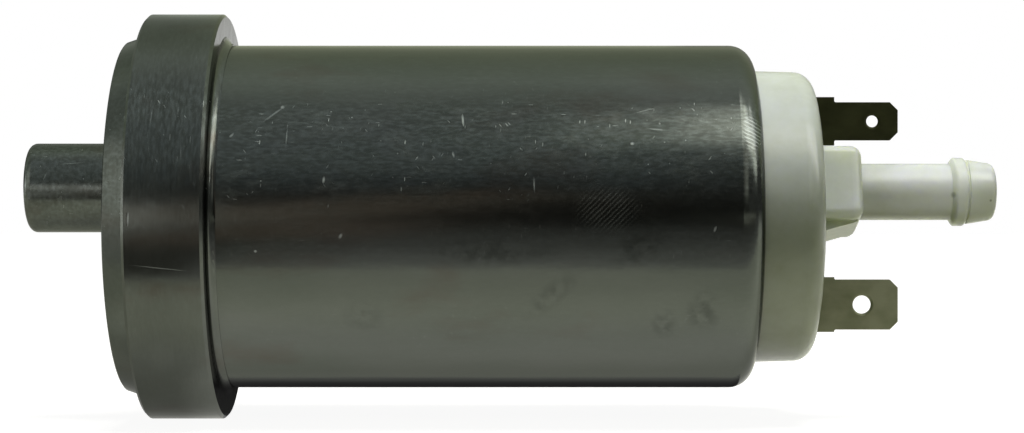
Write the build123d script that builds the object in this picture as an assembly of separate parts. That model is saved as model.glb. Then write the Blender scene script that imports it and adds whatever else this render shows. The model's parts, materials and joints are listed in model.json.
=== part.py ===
from build123d import *
from math import atan, cos, hypot, pi, radians, sin, sqrt, tan
import os

# Electric in-tank fuel pump, in millimetres.
# The pump axis is X: the inlet stub points to -X and the outlet nipple to +X, and Z is up.
# The origin is on the axis, in the middle of the plain tube that a clamp holds.

# Clearances
press_gap = 0.03      # between pieces that are pressed together and stay put
run_gap = 0.03        # radial, between the shaft and its bearings
side_gap = 0.03       # between a rotor or brush and the flat face that it slides on
loose_gap = 0.15      # between mouldings and the bore that they slip into
rotor_gap = 0.06      # between the teeth of the two pump rotors
ring_gap = 0.05       # between the outer rotor and its ring
mouth_gap = 0.25      # between the rolled edge and the end cap
spring_seat_gap = 0.05
slot_gap = 0.04       # between a terminal and its slot in the cap
bore_bevel = 0.3      # at the ends of bearing bores
shaft_bevel = 0.4

# Housing tube: its right end comes from the stack of pieces inside it
tube_r = 21.5
tube_wall = 1.5
tube_left = -41.3
roll_r = 2.85         # outer radius of the edge rolled in over the end cap
tube_bore_r = tube_r - tube_wall

# Mounting collar
collar_wall = 3.9
collar_setback = 0.5
collar_length = 9.5
collar_bevel = 0.35
collar_hollow_r = 1.0  # hollow radius where the collar meets the tube
collar_lip = 0.12      # blunt edge left at the end of that hollow
collar_seat_depth = 0.4  # how much slimmer the tube is where the collar is pressed on
collar_r = tube_r + collar_wall
collar_seat_r = tube_r - collar_seat_depth
collar_left = tube_left + collar_setback
collar_right = collar_left + collar_length
collar_seat_right = collar_right + collar_hollow_r + press_gap

# Inlet cover and stub
flange_lip = 1.3      # how far the flange stands out past the tube
flange_thick = 2.3
flange_taper = 0.9    # how much slimmer the flange's rim is at its outer face
flange_bevel = 0.15
spigot_length = 6.0
spigot_bevel = 0.35
stub_r = 5.6
stub_wall = 2.1
stub_shank_r = 5.2    # slimmer end of the stub that is pressed into the cover
stub_length = 12.6
stub_offset = 3.6     # the stub stands above the pump axis
stub_nose_r = 1.0
suction_r = 5.0       # chamber between the stub's bore and the suction port
suction_rise = 1.7    # how far the chamber's centre is above the stub's
suction_depth = 3.0
port_depth = 2.7
flange_r = tube_r + flange_lip
flange_left = tube_left - flange_thick
skirt_right = collar_left - loose_gap  # the flange reaches over the tube's end as far as this
skirt_r = collar_seat_r + loose_gap
stage_left = tube_left + spigot_length
suction_right = stage_left - port_depth
suction_left = suction_right - suction_depth
stub_bore_r = stub_r - stub_wall

# Rings that seal the covers in the tube
seal_r = 0.68
seal_gap = 0.02
seal_groove_width = 2.0
cover_groove_margin = 1.8  # from the tube's end to the groove
seal_groove_r = tube_bore_r - 2 * (seal_r + seal_gap)

# Pump screws, set in from the tube's bore
screw_r = 1.5
screw_head_r = 2.6
screw_head_height = 1.5
screw_socket_r = 1.3
screw_socket_depth = 0.9
screw_inset = 1.0       # from a screw's head to the tube's bore
screw_count = 3
screw_first_angle = 90.0
screw_tip_margin = 1.8  # from a screw's tip to the flange's outer face
screw_tip_room = 0.5
screw_circle_r = tube_bore_r - screw_inset - screw_head_r

# Pump stage: inner and outer rotor in an off-centre ring, inside the circle of screws
stage_thick = 7.0
outer_lobes = 7
inner_lobes = outer_lobes - 1
lobe_r = 3.0
lobe_spread = 1.3168   # rotor_pitch_r for each lobe and each mm of eccentricity
rotor_rim = 2.84       # metal left outside the outer rotor's hollows
ring_wall = 0.75       # metal between a screw's hole and the ring's bore
port_margin = 0.16     # how far the ports stay inside the outer rotor's hollows
port_half_angle = 58.0
port_corner_gap = 0.1  # how much flatter a port's ends are than half circles
rotor_points = 20      # points along each inner lobe
rotor_crowding = 0.85  # how far these crowd into the hollows, where the outline bends most
plate_thick = 6.0
ring_room = screw_circle_r - screw_r - loose_gap - ring_wall - ring_gap
# The circle that the outer rotor's lobes stand on fills that room, at the eccentricity that it needs.
rotor_pitch_r = (ring_room - rotor_rim - rotor_gap + lobe_r) / (1 + 3 / (outer_lobes * lobe_spread))
eccentricity = rotor_pitch_r / (outer_lobes * lobe_spread)
rotor_root_r = rotor_pitch_r - lobe_r + 2 * eccentricity + rotor_gap
outer_rotor_r = rotor_root_r + rotor_rim
ring_bore_r = outer_rotor_r + ring_gap
port_r_out = rotor_root_r - port_margin
port_r_in = rotor_pitch_r - lobe_r - eccentricity
plate_left = stage_left + stage_thick
plate_right = plate_left + plate_thick

# Relief valve, beside the outer rotor
relief_wall = 2.5       # metal between the ring's bore and the relief hole
relief_hole_r = 1.2
relief_ball_r = 1.75
relief_ball_gap = 0.35
relief_floor = 1.2
relief_exit_r = 1.0
relief_offset = ring_bore_r - eccentricity + relief_wall + relief_hole_r
relief_bore_r = relief_ball_r + relief_ball_gap

# Shaft, bearings, washers and spacer
shaft_r = 2.5
flat_depth = 0.6        # of the two flats that drive the inner rotor
bearing_wall = 1.9
washer_rim = 1.7
washer_thick = 0.8
spacer_wall = 1.5
spacer_length = 4.31
front_bearing_proud = 0.6
front_bearing_setback = 0.3
rear_bearing_length = 5.9
bearing_r = shaft_r + bearing_wall
washer_r = shaft_r + washer_rim
spacer_r = shaft_r + spacer_wall
front_washer_left = plate_right + front_bearing_proud + side_gap
spacer_left = front_washer_left + washer_thick + press_gap

# Magnets and the spring clips between them
magnet_thick = 5.37
magnet_overhang = 3.0   # past each end of the armature core
magnet_span = 128.0
magnet_edge_r = 0.5
clip_thick = 0.6
clip_play = 0.25        # between a clip's leg and the magnet's edge
clip_leg = 3.6
clip_inset = 1.0
magnet_r_in = tube_bore_r - press_gap - magnet_thick

# Armature
air_gap = 0.5           # between the core and the magnets
core_length = 24.0
tooth_count = 8
tooth_width = 3.2
tooth_shoe = 1.7        # thickness of a tooth's shoe
core_hub = 4.3          # metal between the shaft and the slots
slot_mouth = 1.4
winding_inset = 0.15
winding_shy = 1.4       # how far the end turns stay inside the core's rim
winding_gap = 0.8       # between the end turns and the spacer
end_turn_outer_r = 2.2
end_turn_inner_r = 1.4
core_left = spacer_left + spacer_length + press_gap
core_right = core_left + core_length
core_r = magnet_r_in - air_gap
slot_floor_r = shaft_r + core_hub
slot_roof_r = core_r - tooth_shoe
winding_head = spacer_length
winding_r_out = core_r - winding_shy
winding_r_in = spacer_r + winding_gap
magnet_left = core_left - magnet_overhang
magnet_length = core_length + 2 * magnet_overhang

# Brushes and commutator, a flat disc that the brushes run on
hub_gap = 1.1           # between the end turns and the hub
hub_thick = 2.6
hub_sleeve_wall = 1.2
hub_sleeve_proud = 1.6
bar_thick = 2.0
bar_inner_gap = 1.1
bar_outer_margin = 0.5
bar_slit = 0.5
brush_wall = 1.7        # holder wall between the bearing and a brush
brush_radial = 4.6
brush_wide = 6.0
brush_length = 8.5
brush_edge = 0.3
brush_lead_r = 0.45
hub_left = core_right + winding_head + hub_gap
hub_sleeve_r = shaft_r + hub_sleeve_wall
brush_offset = bearing_r + brush_wall + brush_radial / 2
bar_r_in = hub_sleeve_r + bar_inner_gap
bar_r_out = brush_offset + brush_radial / 2 + bar_outer_margin
brush_face = hub_left + hub_thick + bar_thick
brush_right = brush_face + side_gap + brush_length
rear_washer_left = brush_face + hub_sleeve_proud + press_gap

# Brush holder
holder_gap = 2.5        # between the brush face and the holder
holder_pass_r = 3.0
holder_pass_inset = 8.0  # from the tube's bore to a passage's centre
holder_vent_r = 1.0
bearing_floor = 1.1
rear_washer_play = 0.54  # lets the armature move a little along its shaft
shaft_end_room = 0.4
holder_pass_offset = tube_bore_r - holder_pass_inset
holder_left = brush_face + holder_gap
rear_bearing_left = rear_washer_left + washer_thick + rear_washer_play
pocket_right = rear_bearing_left + rear_bearing_length + press_gap
holder_right = pocket_right + bearing_floor
shaft_right = pocket_right - shaft_end_room

# Springs
brush_spring_r = 1.75
brush_spring_wire = 0.5
brush_spring_turns = 7
valve_spring_r = 2.6
valve_spring_wire = 0.45
valve_spring_turns = 5
relief_spring_r = 1.4
relief_spring_wire = 0.4
relief_spring_turns = 4

# End cap
cap_step = 1.65         # how far the visible cap is inside the tube's bore
cap_draft = 0.25        # how much slimmer the cap is at its face
skirt_length = 5.42     # of the part that the tube holds
cap_stand = 7.5         # from the tube's end to the cap's face
cap_edge_r = 2.3
face_disc_inset = 4.35
face_disc_height = 0.3
cap_shell = 2.15
face_wall = 5.0
cap_groove_margin = 1.05
spring_pocket_gap = 0.6
spring_pocket_wall = 1.2
column_web = 3.0        # joins the spring columns to the valve's
cap_left = holder_right + slot_gap
tube_right = cap_left + skirt_length + press_gap + tube_wall
cap_r = tube_bore_r - cap_step
cap_face = tube_right + cap_stand
cavity_r = cap_r - cap_shell
cavity_floor = cap_face - face_wall
face_disc_r = cap_r - face_disc_inset
spring_pocket_r = brush_spring_r + brush_spring_wire / 2 + spring_pocket_gap

# Check valve, nipple and boss on the outlet axis
outlet_offset = 3.1
valve_setback = 1.95
valve_wall = 2.0
valve_gap = 1.2         # between the valve spring and its bore, for the fuel to pass
valve_stop_wall = 1.0
seat_thick = 2.5
seat_hole_r = 1.9
poppet_r = 2.75
poppet_thick = 1.4
poppet_bevel = 0.3
poppet_stem_r = 1.0
poppet_stem_length = 4.0
nipple_bore_r = 2.1
boss_side = 9.5
boss_length = 6.2
boss_turn = 18.0        # the boss is turned on the outlet axis
boss_edge_r = 1.0
boss_end_r = 1.4
shank_wall = 1.45
shank_length = 11.3
barb_height = 0.75
barb_length = 1.9
barb_lead = 0.5
barb_edge_r = 0.35
groove_depth = 0.35
groove_width = 0.3
nose_length = 3.4
nose_height = 0.5
nose_taper = 0.55
nose_edge_r = 0.9
rib_half = 2.6
rib_drop = 1.9
rib_length = 5.6
root_depth = 1.0        # how far the boss and nipple reach into the cap's face
valve_left = cap_left + valve_setback
valve_right = cap_face - valve_stop_wall
valve_r = valve_spring_r + valve_spring_wire / 2 + valve_gap
boss_right = cap_face + boss_length
shank_r = nipple_bore_r + shank_wall
barb_left = boss_right + shank_length
barb_right = barb_left + barb_length
barb_r = shank_r + barb_height
nose_r = shank_r + nose_height
nipple_right = barb_right + groove_width + nose_length

# Blade terminals
blade_thick = 0.8
blade_length = 8.0
blade_corner = 1.0
blade_root_r = 0.2
shoulder_length = 3.1   # from the cap's face to the end of a blade's shoulders
hole_bevel = 0.25
foot_wide = 4.2
foot_trim = 0.4
foot_room = 2.05        # from a foot's outer edge to the cavity's wall
foot_slope = 5.2
small_width = 4.8
small_shoulder = 6.1
small_clear = 0.856     # between the boss and the blade's shoulder
small_hole_r = 0.75
small_hole_back = 3.2   # from the blade's tip to the hole's centre
large_width = 6.3
large_shoulder = 6.9
large_clear = 4.1       # between the rib and the blade's shoulder
large_hole_r = 1.15
large_hole_back = 4.5
small_offset = outlet_offset + boss_side / 2 / cos(radians(boss_turn)) + small_clear + small_shoulder / 2
large_offset = outlet_offset - boss_side / 2 - rib_drop - large_clear - large_shoulder / 2
shoulder_right = cap_face + shoulder_length
blade_tip = shoulder_right + blade_length
foot_left = cavity_floor - blade_thick - slot_gap


# A plane square to the pump axis: its own x runs along +Y and its own y along +Z.
def across(x, y=0.0, z=0.0):
    return Plane(origin=(x, y, z), x_dir=(0, 1, 0), z_dir=(1, 0, 0))


# A round bar along the pump axis.
def rod(x0, x1, r, y=0.0, z=0.0):
    return extrude(across(x0, y, z) * Circle(r), x1 - x0)


# A bar with a rectangular section, wide along Y and tall along Z.
def bar(x0, x1, wide, tall, y=0.0, z=0.0, turn=0.0):
    return extrude(across(x0, y, z) * Rot(0, 0, turn) * Rectangle(wide, tall), x1 - x0)


# A straight-sided profile, given as corners.
def outline(*corners):
    return make_face(Polyline(*corners, close=True))


# Rounds the corner of a profile that is nearest to a point.
def round_corner(face, corner, radius):
    return fillet(face.vertices().sort_by_distance((corner[0], corner[1], 0))[0], radius)


# Bevels the corner of a profile that is nearest to a point.
def bevel_corner(face, corner, size):
    return chamfer(face.vertices().sort_by_distance((corner[0], corner[1], 0))[0], size)


# Turns a profile of (x, radius) about an axis along X at height z.
def turned(face, z=0.0):
    return Pos(0, 0, z) * revolve(Plane.XZ * face, Axis.X)


# A profile bounded by two radii and two angles, in degrees from the profile's own x.
def sector(r_in, r_out, start, end):
    outer = CenterArc((0, 0), r_out, start, end - start)
    inner = CenterArc((0, 0), r_in, start, end - start)
    return make_face([outer, inner, Line(outer @ 0, inner @ 0), Line(outer @ 1, inner @ 1)])


# A wire spring along X, one helix with its ends a wire's radius inside x0 and x1.
def coil_spring(name, x0, x1, mean_r, wire, turns, y=0.0, z=0.0):
    start = x0 + spring_seat_gap + wire / 2
    height = x1 - x0 - 2 * spring_seat_gap - wire
    pitch = height / turns
    path = Helix(pitch, height, mean_r, center=(start, y, z), direction=(1, 0, 0))
    section = Plane(origin=path @ 0, z_dir=path % 0) * Circle(wire / 2)
    print(name, "least gap between turns", round(helix_gap(pitch, mean_r, wire), 3))
    return sweep(section, path=path, is_frenet=True)


# The least gap of a helix to its own next turn, measured on points.
def helix_gap(pitch, mean_r, wire):
    steps = 720
    gaps = []
    for i in range(steps // 2, steps * 3 // 2):
        turn = 2 * pi * i / steps
        chord = 2 * mean_r * sin(turn / 2)
        gaps.append(hypot(chord, pitch * i / steps) - wire)
    return min(gaps)


# Housing tube, rolled in over the end cap at its right end.
def make_housing_tube():
    mouth_r = cap_r + mouth_gap
    inner_right = tube_right - tube_wall
    roll = min(roll_r, tube_r - mouth_r - seal_gap)
    face = outline(
        (tube_left, tube_bore_r),
        (tube_left, collar_seat_r),
        (collar_seat_right, collar_seat_r),
        (collar_seat_right, tube_r),
        (tube_right, tube_r),
        (tube_right, mouth_r),
        (inner_right, mouth_r),
        (inner_right, tube_bore_r),
    )
    face = round_corner(face, (tube_right, tube_r), roll)
    face = round_corner(face, (inner_right, tube_bore_r), roll - tube_wall)
    return turned(face)


# Collar pressed on the tube's seat, with a hollow radius at its right.
def make_mounting_collar():
    bore_r = collar_seat_r + press_gap
    right = collar_right
    hollow = collar_hollow_r
    lip_r = tube_r + press_gap + collar_lip
    start = (right, lip_r + hollow)
    end = (right + hollow, lip_r)
    centre = (right + hollow, lip_r + hollow)
    middle = (centre[0] - hollow * cos(pi / 4), centre[1] - hollow * sin(pi / 4))
    straight = Polyline(
        end,
        (end[0], bore_r),
        (collar_left, bore_r),
        (collar_left, collar_r),
        (right, collar_r),
        start,
    )
    face = make_face([straight, ThreePointArc(start, middle, end)])
    face = bevel_corner(face, (collar_left, collar_r), collar_bevel)
    face = bevel_corner(face, (right, collar_r), collar_bevel)
    return turned(face)


# Places of the pump screws, as (y, z).
def screw_places():
    places = []
    for i in range(screw_count):
        angle = radians(screw_first_angle + 360 * i / screw_count)
        places.append((screw_circle_r * cos(angle), screw_circle_r * sin(angle)))
    return places


# A port shaped like a kidney, above or below the rotors' line of centres.
def port(x0, x1, middle_angle):
    face = sector(port_r_in, port_r_out, middle_angle - port_half_angle, middle_angle + port_half_angle)
    face = fillet(face.vertices(), (port_r_out - port_r_in) / 2 - port_corner_gap)
    return extrude(across(x0, -eccentricity / 2) * face, x1 - x0)


# Inlet cover: a flange and a spigot, with the suction way and the relief valve's bore in it.
def make_inlet_cover():
    spigot_r = tube_bore_r - press_gap
    body = outline(
        (flange_left, 0),
        (flange_left, flange_r - flange_taper),
        (skirt_right, flange_r),
        (skirt_right, skirt_r),
        (tube_left, skirt_r),
        (tube_left, spigot_r),
        (stage_left, spigot_r),
        (stage_left, 0),
    )
    body = bevel_corner(body, (flange_left, flange_r - flange_taper), flange_bevel)
    body = bevel_corner(body, (skirt_right, flange_r), flange_bevel)
    body = bevel_corner(body, (stage_left, spigot_r), spigot_bevel)
    cover = turned(body)
    cover -= rod(flange_left - 1, suction_left, stub_shank_r + press_gap, 0, stub_offset)
    cover -= rod(suction_left, suction_right, suction_r, 0, stub_offset + suction_rise)
    cover -= port(suction_right, stage_left + 1, 90)
    cover -= seal_groove(tube_left + cover_groove_margin)
    cover -= rod(flange_left + relief_floor, stage_left + 1, relief_bore_r, relief_offset)
    cover -= rod(flange_left - 1, stage_left, relief_exit_r, relief_offset)
    tapped_left = flange_left + screw_tip_margin - screw_tip_room
    for y, z in screw_places():
        cover -= rod(tapped_left, stage_left + 1, screw_r + press_gap, y, z)
    return cover


# Off-centre tube with a slimmer end pressed into the inlet cover, as far as the suction chamber.
def make_inlet_stub():
    left = flange_left - stub_length
    right = suction_left - press_gap
    shoulder = flange_left - press_gap
    face = outline(
        (left, stub_bore_r),
        (left, stub_r),
        (shoulder, stub_r),
        (shoulder, stub_shank_r),
        (right, stub_shank_r),
        (right, stub_bore_r),
    )
    face = round_corner(face, (left, stub_r), stub_nose_r)
    return turned(face, stub_offset)


# Groove for a rubber ring, cut into a round cover.
def seal_groove(left):
    right = left + seal_groove_width
    return rod(left, right, tube_bore_r) - rod(left, right, seal_groove_r)


# Rubber ring in a groove, just inside the tube's bore.
def make_seal(groove_left):
    middle = groove_left + seal_groove_width / 2
    section = Plane.XZ * Pos(middle, seal_groove_r + seal_r + seal_gap) * Circle(seal_r)
    return revolve(section, Axis.X)


# Ring that holds the outer rotor off centre.
def make_pump_ring():
    block = rod(stage_left, plate_left, tube_bore_r - press_gap)
    block -= rod(stage_left - 1, plate_left + 1, ring_bore_r, -eccentricity)
    block -= rod(stage_left - 1, plate_left + 1, relief_hole_r, relief_offset)
    for y, z in screw_places():
        block -= rod(stage_left - 1, plate_left + 1, screw_r + loose_gap, y, z)
    return block


# Outer rotor: a disc whose bore has round lobes.
def make_outer_rotor():
    x0 = stage_left + side_gap
    x1 = plate_left - side_gap
    bore = Circle(rotor_root_r)
    for i in range(outer_lobes):
        bore -= Rot(0, 0, 360 * i / outer_lobes) * Pos(rotor_pitch_r, 0) * Circle(lobe_r)
    return extrude(across(x0, -eccentricity) * (Circle(outer_rotor_r) - bore), x1 - x0)


# One point of the inner rotor's outline, traced by the outer rotor's lobes.
def inner_rotor_point(turn):
    lobe = lobe_r + rotor_gap
    swing = inner_lobes * turn
    lean = atan(sin(-swing) / (lobe_spread - cos(swing)))
    y = rotor_pitch_r * cos(turn) - lobe * cos(turn + lean) - eccentricity * cos(outer_lobes * turn)
    z = -rotor_pitch_r * sin(turn) + lobe * sin(turn + lean) + eccentricity * sin(outer_lobes * turn)
    return (y, z)


# Inner rotor, driven by two flats on the shaft.
def make_inner_rotor():
    x0 = stage_left + side_gap
    x1 = plate_left - side_gap
    count = inner_lobes * rotor_points
    points = []
    for i in range(count):
        even = 2 * pi * i / count
        points.append(inner_rotor_point(even - rotor_crowding * sin(inner_lobes * even) / inner_lobes))
    face = make_face(Spline(*points, periodic=True))
    hole_r = shaft_r + press_gap
    hole = Circle(hole_r) & Rectangle(2 * hole_r, 2 * (hole_r - flat_depth))
    return extrude(across(x0) * (face - hole), x1 - x0)


# Outlet plate, between the rotors and the motor.
def make_outlet_plate():
    plate = rod(plate_left, plate_right, tube_bore_r - press_gap)
    plate -= rod(plate_left - 1, plate_right + 1, bearing_r + press_gap)
    plate -= port(plate_left - 1, plate_right + 1, 270)
    plate -= rod(plate_left - 1, plate_right + 1, relief_hole_r, relief_offset)
    for y, z in screw_places():
        plate -= rod(plate_left - 1, plate_right + 1, screw_r + loose_gap, y, z)
    return plate


# One pump screw, with a socket in its head.
def make_screw(y, z):
    head_right = plate_right + screw_head_height
    screw = rod(flange_left + screw_tip_margin, head_right, screw_r, y, z)
    screw += rod(plate_right + press_gap, head_right, screw_head_r, y, z)
    socket = across(head_right - screw_socket_depth, y, z) * RegularPolygon(screw_socket_r, 6)
    return screw - extrude(socket, screw_socket_depth + 1)


def make_pump_screws():
    return Compound(children=[make_screw(y, z) for y, z in screw_places()])


# Plain bush with its bore bevelled.
def make_bearing(x0, x1):
    face = outline((x0, shaft_r + run_gap), (x0, bearing_r), (x1, bearing_r), (x1, shaft_r + run_gap))
    face = bevel_corner(face, (x0, shaft_r + run_gap), bore_bevel)
    face = bevel_corner(face, (x1, shaft_r + run_gap), bore_bevel)
    return turned(face)


def make_washer(x0):
    return rod(x0, x0 + washer_thick, washer_r) - rod(x0 - 1, x0 + 2, shaft_r + press_gap)


# Ball of the relief valve, against the edge of the ring's hole.
def relief_ball_x():
    return stage_left - sqrt(relief_ball_r**2 - relief_hole_r**2) - seal_gap


def make_relief_ball():
    return Pos(relief_ball_x(), relief_offset, 0) * Sphere(relief_ball_r)


def make_relief_spring():
    x0 = flange_left + relief_floor
    wire_r = relief_spring_wire / 2
    x1 = relief_ball_x() + wire_r - sqrt((relief_ball_r + wire_r) ** 2 - relief_spring_r**2)
    return coil_spring(
        "relief_spring", x0, x1, relief_spring_r, relief_spring_wire, relief_spring_turns, relief_offset
    )


# Armature shaft, with two flats for the inner rotor.
def make_armature_shaft():
    left = stage_left + 2 * side_gap
    face = outline((left, 0), (left, shaft_r), (shaft_right, shaft_r), (shaft_right, 0))
    face = bevel_corner(face, (left, shaft_r), shaft_bevel)
    face = bevel_corner(face, (shaft_right, shaft_r), shaft_bevel)
    shaft = turned(face)
    flats_right = plate_left + 2 * side_gap
    for side in (1, -1):
        middle = side * (shaft_r - flat_depth + shaft_r / 2)
        shaft -= bar(left - 1, flats_right, 2 * shaft_r + 1, shaft_r, 0, middle)
    return shaft


# Half the width of an armature slot at a radius, less the two half teeth beside it.
def slot_half_width(r, inset=0.0):
    half_step = pi / tooth_count
    return r * tan(half_step) - (tooth_width / 2 + inset) / cos(half_step)


# The part of a slot that holds copper, as a profile along +Y.
def slot_profile(inset=0.0):
    low = slot_floor_r + inset
    high = slot_roof_r - inset
    low_half = slot_half_width(low, inset)
    high_half = slot_half_width(high, inset)
    return outline((low, -low_half), (high, -high_half), (high, high_half), (low, low_half))


# Stack of steel sheets, with slots for the winding.
def make_armature_core():
    face = Circle(core_r) - Circle(shaft_r + press_gap)
    mouth = Pos((slot_roof_r + core_r) / 2, 0) * Rectangle(core_r - slot_roof_r + 2, slot_mouth)
    for i in range(tooth_count):
        face -= Rot(0, 0, 360 * i / tooth_count) * (slot_profile() + mouth)
    return extrude(across(core_left) * face, core_length)


# Copper winding: a bundle in every slot and rounded end turns.
def make_armature_winding():
    gap = winding_inset
    head_length = winding_head - gap
    winding = None
    for x0 in (core_left - winding_head, core_right + gap):
        face = outline(
            (x0, winding_r_in),
            (x0, winding_r_out),
            (x0 + head_length, winding_r_out),
            (x0 + head_length, winding_r_in),
        )
        outward = x0 if x0 < core_left else x0 + head_length
        face = round_corner(face, (outward, winding_r_out), end_turn_outer_r)
        face = round_corner(face, (outward, winding_r_in), end_turn_inner_r)
        head = turned(face)
        winding = head if winding is None else winding + head
    bundle_left = core_left - 2 * gap
    bundle_right = core_right + 2 * gap
    for i in range(tooth_count):
        face = Rot(0, 0, 360 * i / tooth_count) * slot_profile(gap)
        winding += extrude(across(bundle_left) * face, bundle_right - bundle_left)
    return winding


# Insulating sleeve between the front washer and the core.
def make_shaft_spacer():
    right = spacer_left + spacer_length
    return rod(spacer_left, right, spacer_r) - rod(spacer_left - 1, right + 1, shaft_r + press_gap)


# Moulded hub of the commutator, with its sleeve.
def make_commutator_hub():
    disc = rod(hub_left, hub_left + hub_thick, bar_r_out)
    sleeve = rod(core_right + press_gap, brush_face + hub_sleeve_proud, hub_sleeve_r)
    return disc + sleeve - rod(core_right - 1, brush_face + hub_sleeve_proud + 1, shaft_r + press_gap)


# Copper bars of the commutator, one for each armature tooth.
def make_commutator_bars():
    x0 = hub_left + hub_thick
    bars = []
    ring_face = Circle(bar_r_out) - Circle(bar_r_in)
    half_step = 180 / tooth_count
    for i in range(tooth_count):
        wedge = sector(bar_r_in, bar_r_out, -half_step, half_step) & ring_face
        for side in (1, -1):
            slit = Rot(0, 0, side * half_step) * Pos(bar_r_out, 0) * Rectangle(2 * bar_r_out, bar_slit)
            wedge -= slit
        bars.append(extrude(across(x0) * Rot(0, 0, 360 * i / tooth_count) * wedge, bar_thick))
    return Compound(children=bars)


# Curved magnet, centred at an angle from +Y.
def make_magnet(middle_angle):
    half = magnet_span / 2
    face = sector(magnet_r_in, tube_bore_r - press_gap, middle_angle - half, middle_angle + half)
    face = fillet(face.vertices(), magnet_edge_r)
    return extrude(across(magnet_left) * face, magnet_length)


# Spring steel clip that pushes the two magnets apart, a channel along the tube wall.
def make_magnet_clip(middle_angle):
    r_out = tube_bore_r - press_gap
    play = clip_play * 180 / (pi * magnet_r_in)
    half = (180 - magnet_span) / 2 - play
    base = sector(r_out - clip_thick, r_out, middle_angle - half, middle_angle + half)
    leg_turn = clip_thick * 180 / (pi * r_out)
    low_leg = sector(r_out - clip_leg, r_out, middle_angle - half, middle_angle - half + leg_turn)
    high_leg = sector(r_out - clip_leg, r_out, middle_angle + half - leg_turn, middle_angle + half)
    clip = across(magnet_left + clip_inset) * (base + low_leg + high_leg)
    return extrude(clip, magnet_length - 2 * clip_inset)


# Brush holder: bearing pocket in the middle, a brush channel each side and fuel passages.
def make_brush_holder():
    holder = rod(holder_left, holder_right, tube_bore_r - loose_gap)
    holder -= rod(holder_left - 1, pocket_right, bearing_r + press_gap)
    holder -= rod(holder_left, holder_right + 1, holder_vent_r)
    for side in (1, -1):
        y = side * brush_offset
        radial = brush_radial + 2 * run_gap
        wide = brush_wide + 2 * run_gap
        holder -= bar(holder_left - 1, holder_right + 1, radial, wide, y)
        z = side * holder_pass_offset
        holder -= rod(holder_left - 1, holder_right + 1, holder_pass_r, 0, z)
    return holder


# Carbon brush, with its corners broken.
def make_brush(side):
    x0 = brush_face + side_gap
    brush = bar(x0, x0 + brush_length, brush_radial, brush_wide, side * brush_offset)
    return chamfer(brush.edges().filter_by(Axis.X), brush_edge)


def make_brush_spring(name, side):
    y = side * brush_offset
    return coil_spring(name, brush_right, foot_left, brush_spring_r, brush_spring_wire, brush_spring_turns, y)


# Copper lead from a brush, through its spring, to the terminal's foot.
def make_brush_lead(side):
    return rod(brush_right + press_gap, foot_left - press_gap, brush_lead_r, side * brush_offset)


# Outline of a blade terminal in the X-Z plane, from its foot to its tip.
def blade_face(width, shoulder, hole_r, hole_back):
    tip = blade_tip
    face = outline(
        (foot_left, -shoulder / 2),
        (shoulder_right, -shoulder / 2),
        (shoulder_right, -width / 2),
        (tip, -width / 2),
        (tip, width / 2),
        (shoulder_right, width / 2),
        (shoulder_right, shoulder / 2),
        (foot_left, shoulder / 2),
    )
    for side in (1, -1):
        face = bevel_corner(face, (tip, side * width / 2), blade_corner)
        face = round_corner(face, (shoulder_right, side * width / 2), blade_root_r)
    return face - Pos(tip - hole_back, 0) * Circle(hole_r)


# Foot of a terminal: a flat strip from under the blade to behind its brush.
def foot_face(side, offset, shoulder):
    reach = side * brush_offset
    half = foot_wide / 2
    top = cavity_r - foot_room
    low = abs(offset) - shoulder / 2 + foot_trim
    inner_slope = brush_offset - half - foot_slope / 2
    corners = [
        (-side * blade_thick / 2, low),
        (-side * blade_thick / 2, top),
        (side * (brush_offset + half - foot_slope), top),
        (reach + side * half, top - foot_slope),
        (reach + side * half, -half),
        (reach - side * half, -half),
        (reach - side * half, low - foot_slope / 2),
        (side * inner_slope, low),
    ]
    if offset < 0:
        corners = [(y, -z) for y, z in corners]
    return outline(*corners)


# Blade terminal: the blade, its shoulders, and the foot that carries the brush spring.
def make_terminal(side, offset, width, shoulder, hole_r, hole_back):
    face = blade_face(width, shoulder, hole_r, hole_back)
    blade = extrude(Plane.XZ.offset(-blade_thick / 2) * face, blade_thick)
    for wall in (1, -1):
        cone_y = wall * (blade_thick / 2 - hole_bevel / 2)
        cone = Cone(hole_r, hole_r + hole_bevel, hole_bevel)
        blade -= Pos(blade_tip - hole_back, cone_y, 0) * Rot(-wall * 90, 0, 0) * cone
    foot = extrude(across(foot_left) * foot_face(side, offset, shoulder), blade_thick)
    return Pos(0, 0, offset) * blade + foot


# Body of the nipple: shank, barb, groove and tapered nose.
def make_nipple():
    face = outline(
        (cap_face - root_depth, 0),
        (cap_face - root_depth, shank_r),
        (barb_left, shank_r),
        (barb_left + barb_lead, barb_r),
        (barb_right, barb_r),
        (barb_right, nose_r - groove_depth),
        (barb_right + groove_width, nose_r - groove_depth),
        (barb_right + groove_width, nose_r),
        (nipple_right, nose_r - nose_taper),
        (nipple_right, 0),
    )
    face = round_corner(face, (nipple_right, nose_r - nose_taper), nose_edge_r)
    face = round_corner(face, (barb_right, barb_r), barb_edge_r)
    face = round_corner(face, (barb_left + barb_lead, barb_r), barb_edge_r)
    return turned(face, outlet_offset)


# Square boss at the nipple's root, with a sloping rib under it.
def make_boss():
    left = cap_face - root_depth
    boss = bar(left, boss_right, boss_side, boss_side, 0, outlet_offset, -boss_turn)
    boss = fillet(boss.edges().filter_by(Axis.X), boss_edge_r)
    end_edges = boss.edges().group_by(Axis.X)[-1]
    boss = fillet(end_edges, boss_end_r)
    half = boss_side / 2
    rib_right = cap_face + rib_length
    profile = outline((left, 0), (left, -half - rib_drop), (rib_right, -half), (rib_right, 0))
    rib = extrude(Plane.XZ.offset(-rib_half) * profile, 2 * rib_half)
    rib = Pos(0, 0, outlet_offset) * Rot(-boss_turn, 0, 0) * rib
    return boss + rib


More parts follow.
